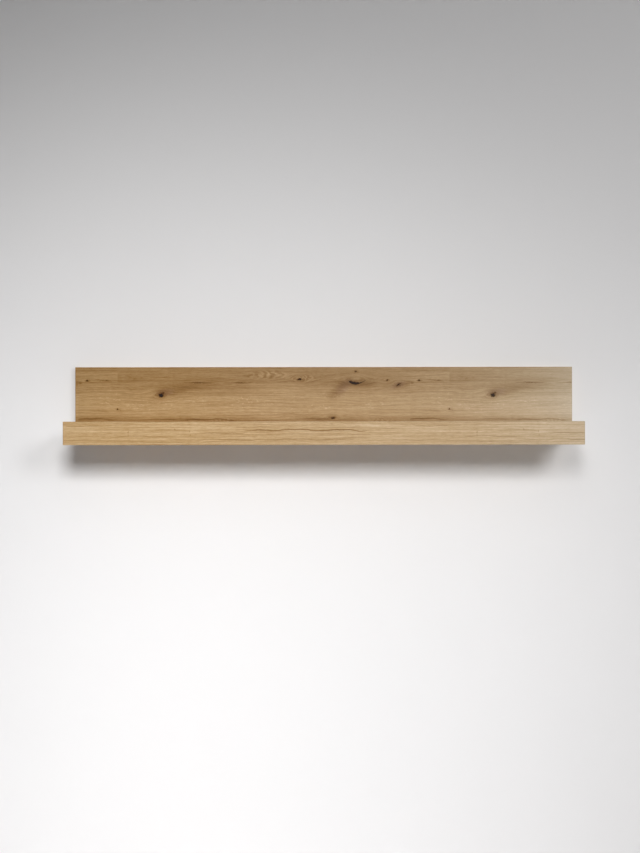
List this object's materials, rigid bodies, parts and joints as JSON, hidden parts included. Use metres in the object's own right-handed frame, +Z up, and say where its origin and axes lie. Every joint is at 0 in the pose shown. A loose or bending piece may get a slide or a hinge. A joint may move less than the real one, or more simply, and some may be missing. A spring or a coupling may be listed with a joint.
{
  "type": "wall shelf",
  "caption": "Long wall shelf in knotty oak decor: a tall back panel, a board at its foot and a front rail that stands as a low lip above the board and hangs below it as an apron.",
  "frame": {"origin": "on the back panel's rear face, midway between the two wall screws that the hanger plates drop onto", "axes": "+X along the shelf, to the right as seen from the room; +Y into the wall; +Z up"},
  "size_m": [1.5, 0.22, 0.2325],
  "materials": {
    "panel_decor": "matt oak decor",
    "board_decor": "matt oak decor",
    "rail_decor": "matt oak decor",
    "edge_band": "matt oak decor",
    "beech": "raw",
    "zinc_steel": "zinc plated",
    "cast_zinc": "die cast",
    "cap_plastic": "matt"
  },
  "bodies": {
    "root": {"back_panel": "panel_decor", "shelf_board": "board_decor", "front_rail": "rail_decor", "left_hanger_plate": "zinc_steel", "right_hanger_plate": "zinc_steel", "hanger_screws": "zinc_steel", "assembly_screws": "zinc_steel", "cam_bolts": "zinc_steel", "cams": "cast_zinc", "cam_caps": "cap_plastic", "panel_dowels": "beech", "rail_dowels": "beech", "panel_top_band": "edge_band", "panel_bottom_band": "edge_band", "panel_left_band": "edge_band", "panel_right_band": "edge_band", "board_left_band": "edge_band", "board_right_band": "edge_band", "rail_top_band": "edge_band", "rail_bottom_band": "edge_band", "rail_left_band": "edge_band", "rail_right_band": "edge_band"}
  },
  "joints": []
}
